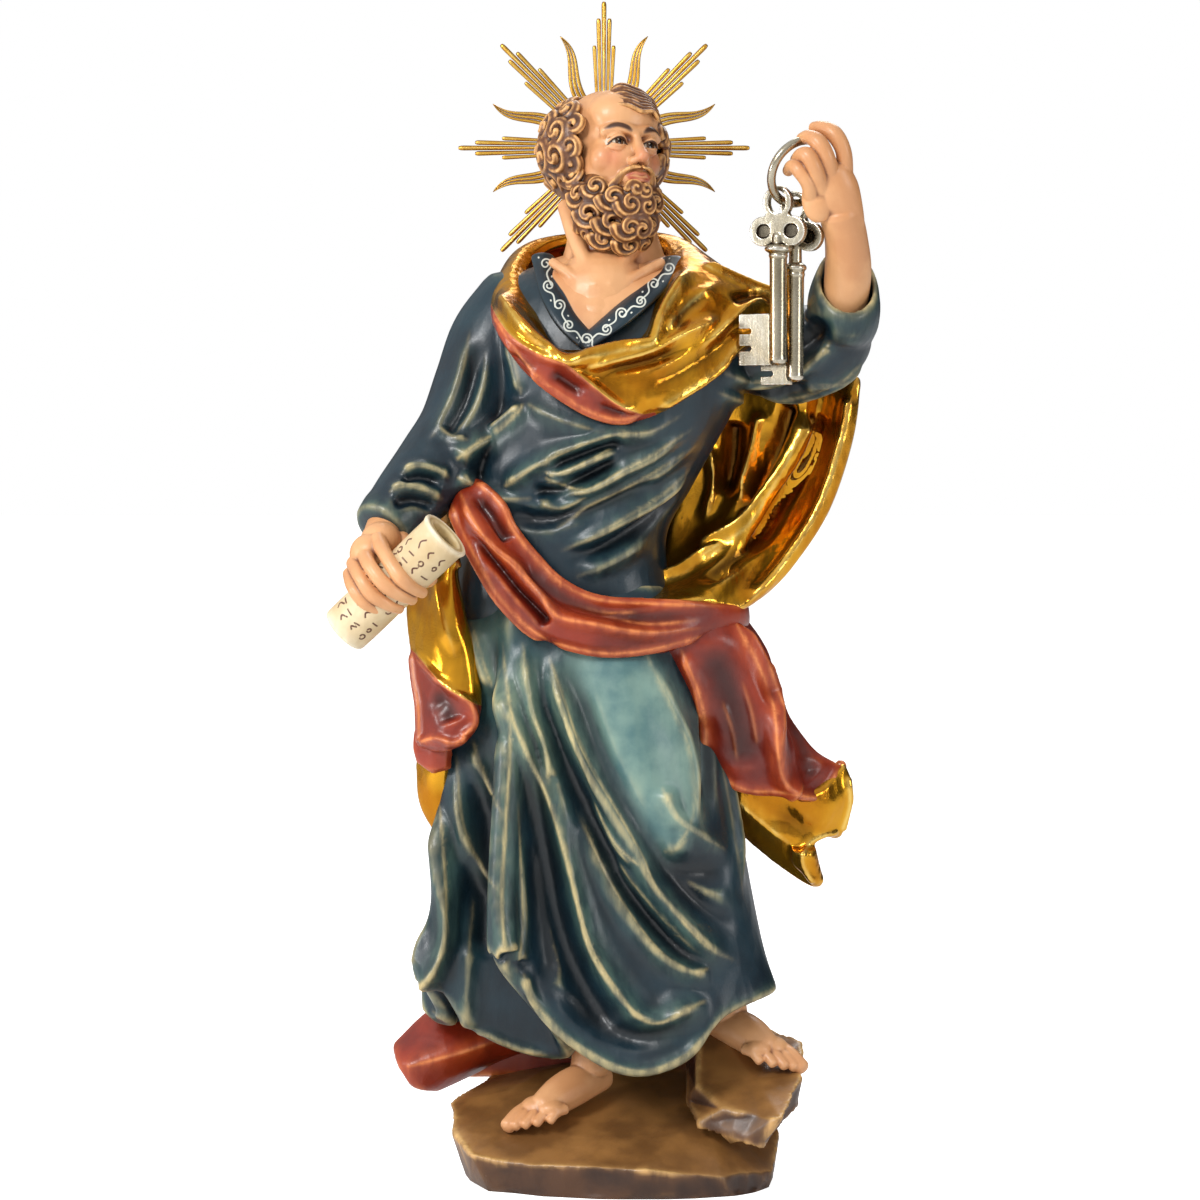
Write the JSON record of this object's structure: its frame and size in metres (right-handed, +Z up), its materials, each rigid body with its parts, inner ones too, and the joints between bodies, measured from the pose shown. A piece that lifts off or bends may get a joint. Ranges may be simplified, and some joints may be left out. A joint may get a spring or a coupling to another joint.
{
  "type": "wooden saint statue",
  "caption": "Carved and painted wooden standing saint in robe and draped mantle, with a scroll, keys on a ring and a gilded halo, on a rock base.",
  "frame": {"origin": "on the flat underside of the rock base, under the middle of the figure", "axes": "+Z up, the figure's front faces -Y, +X to the viewer's right"},
  "size_m": [0.2956, 0.1737, 0.6487],
  "materials": {
    "painted_wood": "painted, glazed and part gilded carved wood, satin",
    "gilded_halo": "gilded, polished, brown in the grooves",
    "silvered_metal": "aged silver, brown in the recesses"
  },
  "bodies": {
    "root": {"figure": "painted_wood", "halo": "gilded_halo", "key_ring": "silvered_metal", "front_key": "silvered_metal", "rear_key": "silvered_metal"}
  },
  "joints": []
}
